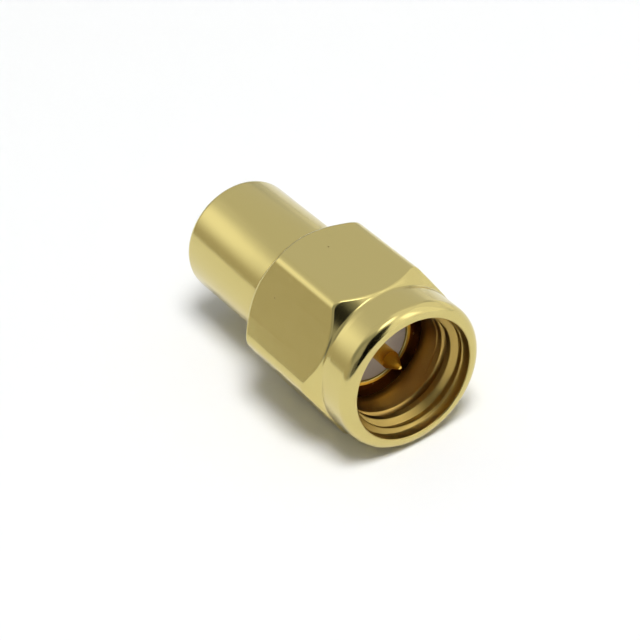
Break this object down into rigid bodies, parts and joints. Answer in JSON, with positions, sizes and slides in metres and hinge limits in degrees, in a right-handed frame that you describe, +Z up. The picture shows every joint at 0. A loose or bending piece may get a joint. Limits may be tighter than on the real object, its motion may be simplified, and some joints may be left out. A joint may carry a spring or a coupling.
{
  "type": "coaxial termination",
  "caption": "Gold-plated coaxial load: a hexagonal screw-on coupling nut with a round collar, a centre pin in a pale insulator, and a smooth closed round barrel behind.",
  "frame": {"origin": "on the axis, in the reference plane: the end face of the outer conductor's sleeve", "axes": "+X along the axis towards the mating end, +Z up with two flats of the nut facing +Z and -Z"},
  "size_m": [0.0154, 0.0092, 0.008],
  "materials": {
    "gold_plate": "polished gold plate on brass",
    "contact_gold": "gold plate",
    "spring_bronze": "rolled spring bronze",
    "insulator": "waxy white fluoropolymer",
    "ceramic": "fired ceramic",
    "cap_metal": "tinned",
    "bare_brass": "turned"
  },
  "bodies": {
    "plug": {"plug_body": "gold_plate", "front_dielectric": "insulator", "centre_contact": "contact_gold", "resistor_rod": "ceramic", "resistor_front_cap": "cap_metal", "resistor_rear_cap": "cap_metal", "resistor_holder": "bare_brass", "tail_cap": "gold_plate"},
    "retaining_ring": {"retaining_ring": "spring_bronze"},
    "coupling_nut": {"coupling_nut": "gold_plate"}
  },
  "joints": [
    {"name": "nut_float", "type": "slide", "parent": "plug", "child": "retaining_ring", "axis": [1, 0, 0], "range_m": [-0.00015, 0.00015]},
    {"name": "nut_spin", "type": "hinge", "parent": "retaining_ring", "child": "coupling_nut", "pos_m": [0, 0, 0], "axis": [1, 0, 0], "continuous": true}
  ]
}
